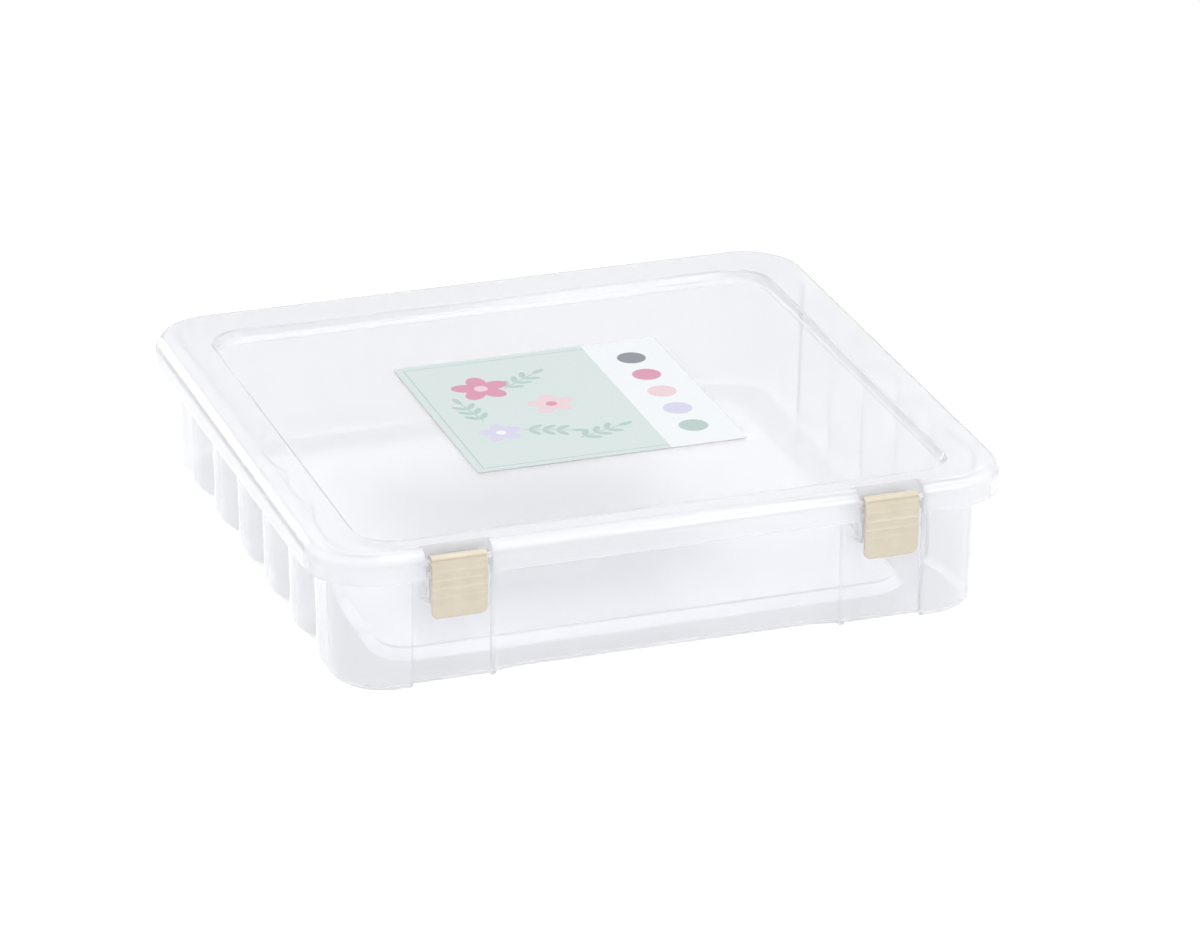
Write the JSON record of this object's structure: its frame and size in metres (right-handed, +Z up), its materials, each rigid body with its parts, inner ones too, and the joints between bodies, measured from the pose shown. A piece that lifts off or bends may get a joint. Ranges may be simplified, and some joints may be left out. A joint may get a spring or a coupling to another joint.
{
  "type": "paper storage box",
  "caption": "Clear shallow case for flat craft paper: scalloped tray, hinged lid with a sunk panel and printed card, and snap latches at the front.",
  "frame": {"origin": "on the ground plane, under the middle of the closed case's bounding box", "axes": "+X to the right as seen from the latches, +Y to the back where the hinges are, +Z up"},
  "size_m": [0.36, 0.337, 0.076],
  "materials": {
    "tray_plastic": "clear gloss",
    "lid_plastic": "clear gloss",
    "latch_plastic": "satin ivory",
    "printed_card": "smooth printed card"
  },
  "bodies": {
    "tray": {"base_tray": "tray_plastic"},
    "lid": {"lid": "lid_plastic", "label_card": "printed_card"},
    "latch_left": {"latch_left": "latch_plastic"},
    "latch_right": {"latch_right": "latch_plastic"}
  },
  "joints": [
    {"name": "lid_hinge", "type": "hinge", "parent": "tray", "child": "lid", "pos_m": [0, 0.1653, 0.0578], "axis": [-1, 0, 0], "range_deg": [0, 180]},
    {"name": "latch_left_pivot", "type": "hinge", "parent": "lid", "child": "latch_left", "pos_m": [-0.1114, -0.1645, 0.0694], "axis": [-1, 0, 0], "range_deg": [0, 180]},
    {"name": "latch_right_pivot", "type": "hinge", "parent": "lid", "child": "latch_right", "pos_m": [0.1114, -0.1645, 0.0694], "axis": [-1, 0, 0], "range_deg": [0, 180]}
  ]
}
